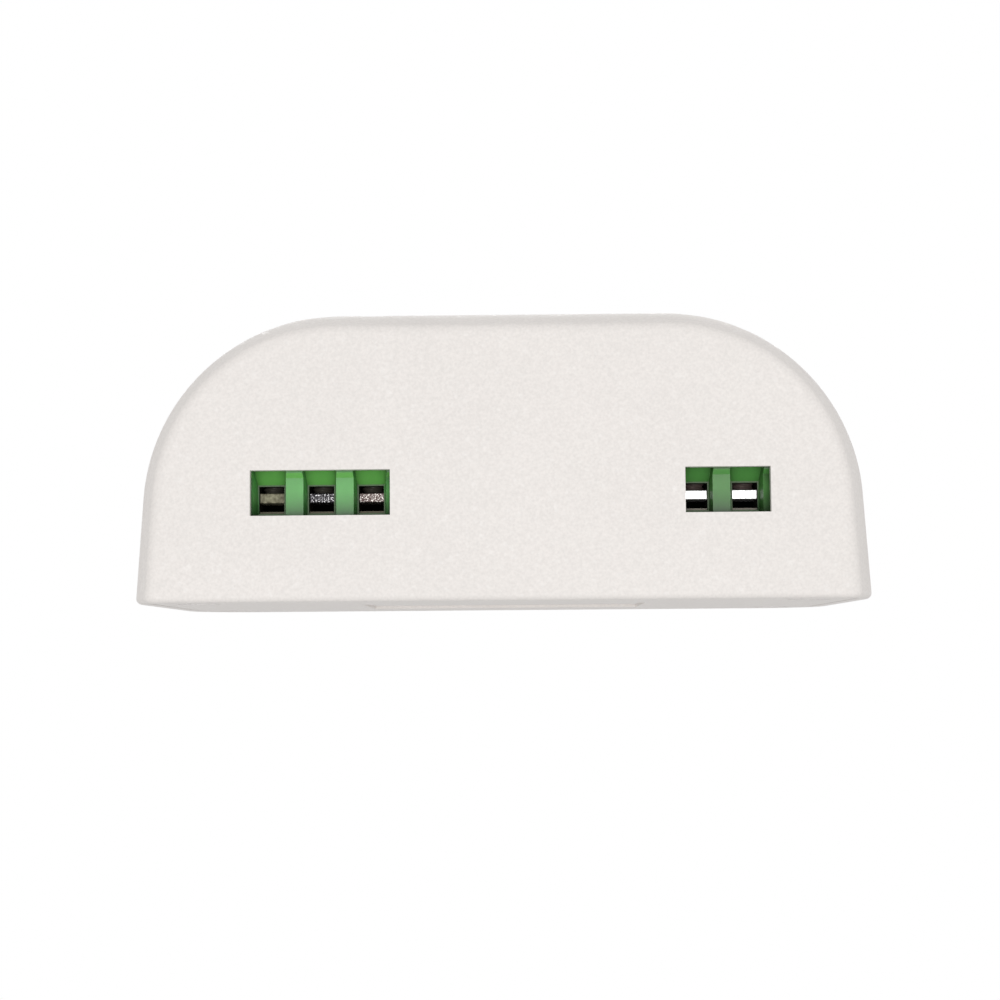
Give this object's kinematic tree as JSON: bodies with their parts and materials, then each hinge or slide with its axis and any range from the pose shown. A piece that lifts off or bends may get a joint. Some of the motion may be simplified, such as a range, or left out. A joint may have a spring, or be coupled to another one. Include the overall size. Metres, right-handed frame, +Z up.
{
  "type": "smart relay module",
  "caption": "Low D-fronted white enclosure with green screw terminal blocks behind two front windows, a top push button, and a relay, power supply and radio inside.",
  "frame": {"origin": "centre of the flat underside", "axes": "+X along the width, to the right as seen from the front; -Y towards the wire windows; +Z up"},
  "size_m": [0.0756, 0.044, 0.0302],
  "materials": {
    "case_plastic": "fine satin texture",
    "terminal_green": "moulded",
    "clamp_metal": "plated, slightly rough",
    "zinc_steel": "zinc plated",
    "tinned_metal": "tinned",
    "clear_plastic": "clear moulding",
    "board_green": "solder mask",
    "relay_blue": "moulded",
    "black_plastic": "moulded",
    "soft_iron": "plated iron",
    "copper_wire": "enamelled wire",
    "contact_copper": "copper alloy",
    "fuse_plastic": "moulded",
    "varistor_blue": "dipped coating",
    "ferrite": "sintered",
    "can_sleeve": "sleeved aluminium can",
    "winding_tape": "tape",
    "chip_ceramic": "ceramic with tinned ends"
  },
  "bodies": {
    "root": {"base_plate": "case_plastic", "board_screws": "zinc_steel", "bridge_rectifier": "black_plastic", "bulk_capacitor": "can_sleeve", "case_screws": "zinc_steel", "chip_capacitors": "chip_ceramic", "chip_resistors": "chip_ceramic", "choke_core": "ferrite", "choke_winding": "copper_wire", "circuit_board": "board_green", "clamp_diode": "black_plastic", "component_leads": "tinned_metal", "converter_chip": "black_plastic", "header_body": "black_plastic", "header_pins": "contact_copper", "input_clamp_frames": "clamp_metal", "input_terminal_housing": "terminal_green", "light_pipe": "clear_plastic", "mains_fuse": "fuse_plastic", "output_capacitor": "can_sleeve", "output_clamp_frames": "clamp_metal", "output_diode": "black_plastic", "output_terminal_housing": "terminal_green", "radio_aerial": "contact_copper", "radio_board": "board_green", "radio_shield": "tinned_metal", "relay_base": "black_plastic", "relay_bobbin": "black_plastic", "relay_case": "relay_blue", "relay_coil_pins": "tinned_metal", "relay_core": "soft_iron", "relay_driver": "black_plastic", "relay_rest_contact": "contact_copper", "relay_winding": "copper_wire", "relay_work_contact": "contact_copper", "relay_yoke": "soft_iron", "solder_joints": "tinned_metal", "status_light": "clear_plastic", "surge_varistor": "varistor_blue", "switch_body": "black_plastic", "switch_lid": "tinned_metal", "top_cover": "case_plastic", "transformer_bobbin": "black_plastic", "transformer_core": "ferrite", "transformer_winding": "winding_tape", "voltage_regulator": "black_plastic"},
    "output_clamp_1": {"output_leaf_1": "clamp_metal"},
    "output_driver_1": {"output_screw_1": "clamp_metal"},
    "output_clamp_2": {"output_leaf_2": "clamp_metal"},
    "output_driver_2": {"output_screw_2": "clamp_metal"},
    "output_clamp_3": {"output_leaf_3": "clamp_metal"},
    "output_driver_3": {"output_screw_3": "clamp_metal"},
    "input_clamp_1": {"input_leaf_1": "clamp_metal"},
    "input_driver_1": {"input_screw_1": "clamp_metal"},
    "input_clamp_2": {"input_leaf_2": "clamp_metal"},
    "input_driver_2": {"input_screw_2": "clamp_metal"},
    "button": {"button_cap": "case_plastic", "switch_plunger": "black_plastic"},
    "relay_armature": {"relay_armature": "soft_iron", "relay_contact_spring": "contact_copper"}
  },
  "joints": [
    {"name": "output_leaf_slide_1", "type": "slide", "parent": "root", "child": "output_clamp_1", "axis": [0, 0, -1], "range_m": [-0.0013, 0.00085]},
    {"name": "output_screw_turn_1", "type": "hinge", "parent": "output_clamp_1", "child": "output_driver_1", "pos_m": [-0.02348, -0.01583, 0.014], "axis": [0, 0, 1], "range_deg": [-681, 1041]},
    {"name": "output_leaf_slide_2", "type": "slide", "parent": "root", "child": "output_clamp_2", "axis": [0, 0, -1], "range_m": [-0.0013, 0.00085]},
    {"name": "output_screw_turn_2", "type": "hinge", "parent": "output_clamp_2", "child": "output_driver_2", "pos_m": [-0.0184, -0.01583, 0.014], "axis": [0, 0, 1], "range_deg": [-681, 1041]},
    {"name": "output_leaf_slide_3", "type": "slide", "parent": "root", "child": "output_clamp_3", "axis": [0, 0, -1], "range_m": [-0.0013, 0.00085]},
    {"name": "output_screw_turn_3", "type": "hinge", "parent": "output_clamp_3", "child": "output_driver_3", "pos_m": [-0.01332, -0.01583, 0.014], "axis": [0, 0, 1], "range_deg": [-681, 1041]},
    {"name": "input_leaf_slide_1", "type": "slide", "parent": "root", "child": "input_clamp_1", "axis": [0, 0, -1], "range_m": [-0.0013, 0.00085]},
    {"name": "input_screw_turn_1", "type": "hinge", "parent": "input_clamp_1", "child": "input_driver_1", "pos_m": [0.01959, -0.01583, 0.014], "axis": [0, 0, 1], "range_deg": [-681, 1041]},
    {"name": "input_leaf_slide_2", "type": "slide", "parent": "root", "child": "input_clamp_2", "axis": [0, 0, -1], "range_m": [-0.0013, 0.00085]},
    {"name": "input_screw_turn_2", "type": "hinge", "parent": "input_clamp_2", "child": "input_driver_2", "pos_m": [0.02467, -0.01583, 0.014], "axis": [0, 0, 1], "range_deg": [-681, 1041]},
    {"name": "button_press", "type": "slide", "parent": "root", "child": "button", "axis": [0, 0, -1], "range_m": [0, 0.0003], "stiffness_N_per_m": 3000, "springref_m": -0.0004},
    {"name": "relay_pull", "type": "hinge", "parent": "root", "child": "relay_armature", "pos_m": [-0.0109, -0.004, 0.01849], "axis": [0, -1, 0], "range_deg": [0, 2], "stiffness_Nm_per_rad": 0.05, "springref_deg": -2.01}
  ],
  "couplings": [
    {"joint": "output_screw_turn_1", "follows": "output_leaf_slide_1", "rad_per_m": -13963},
    {"joint": "output_screw_turn_2", "follows": "output_leaf_slide_2", "rad_per_m": -13963},
    {"joint": "output_screw_turn_3", "follows": "output_leaf_slide_3", "rad_per_m": -13963},
    {"joint": "input_screw_turn_1", "follows": "input_leaf_slide_1", "rad_per_m": -13963},
    {"joint": "input_screw_turn_2", "follows": "input_leaf_slide_2", "rad_per_m": -13963}
  ]
}
